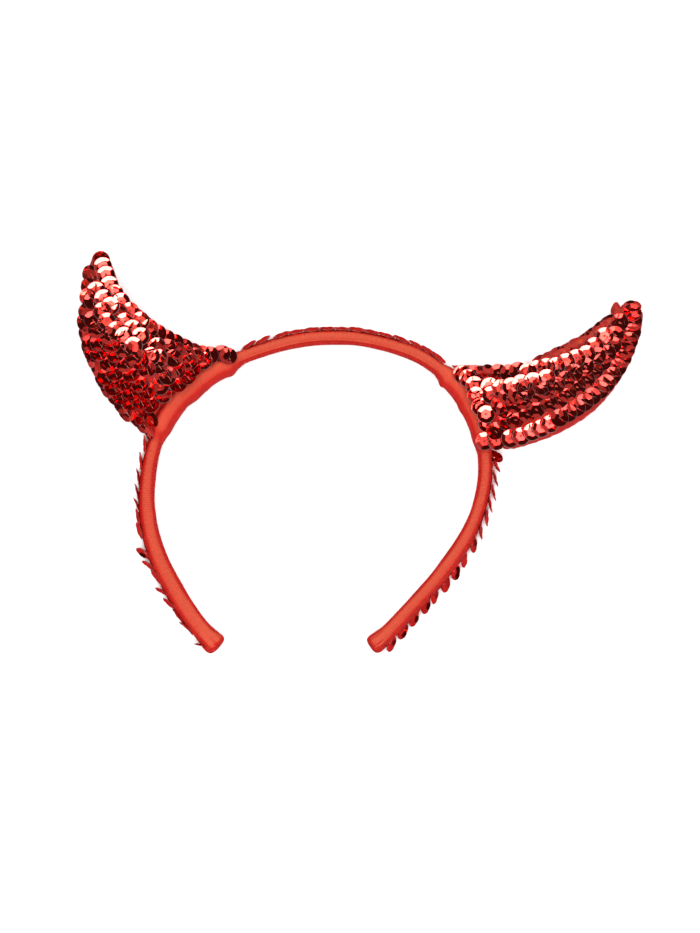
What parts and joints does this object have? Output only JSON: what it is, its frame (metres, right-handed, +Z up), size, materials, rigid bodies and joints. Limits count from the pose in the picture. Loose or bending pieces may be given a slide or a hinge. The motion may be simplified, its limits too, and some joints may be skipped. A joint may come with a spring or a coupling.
{
  "type": "devil horns headband",
  "caption": "Cloth-covered C-shaped hair hoop with two stuffed satin horns fronted in overlapping sequins and a string of sequins along its outer face.",
  "frame": {"origin": "on the floor, under the middle of the whole object's box, with the hoop lying on its edge", "axes": "+Z up, along the hoop's axis; +Y from the two leg tips to the crown of the hoop; +X to the right horn"},
  "size_m": [0.2196, 0.1536, 0.0246],
  "materials": {
    "cover_cloth": "fine ribbed ribbon cloth, matt",
    "satin": "polyester satin, soft sheen",
    "sequin_foil": "glossy metallised film"
  },
  "bodies": {
    "root": {"band": "cover_cloth", "right_sleeve": "satin", "left_sleeve": "satin", "right_horn_body": "satin", "left_horn_body": "satin", "right_horn_sequins": "sequin_foil", "left_horn_sequins": "sequin_foil", "right_leg_sequins": "sequin_foil", "crown_sequins": "sequin_foil", "left_leg_sequins": "sequin_foil"}
  },
  "joints": []
}
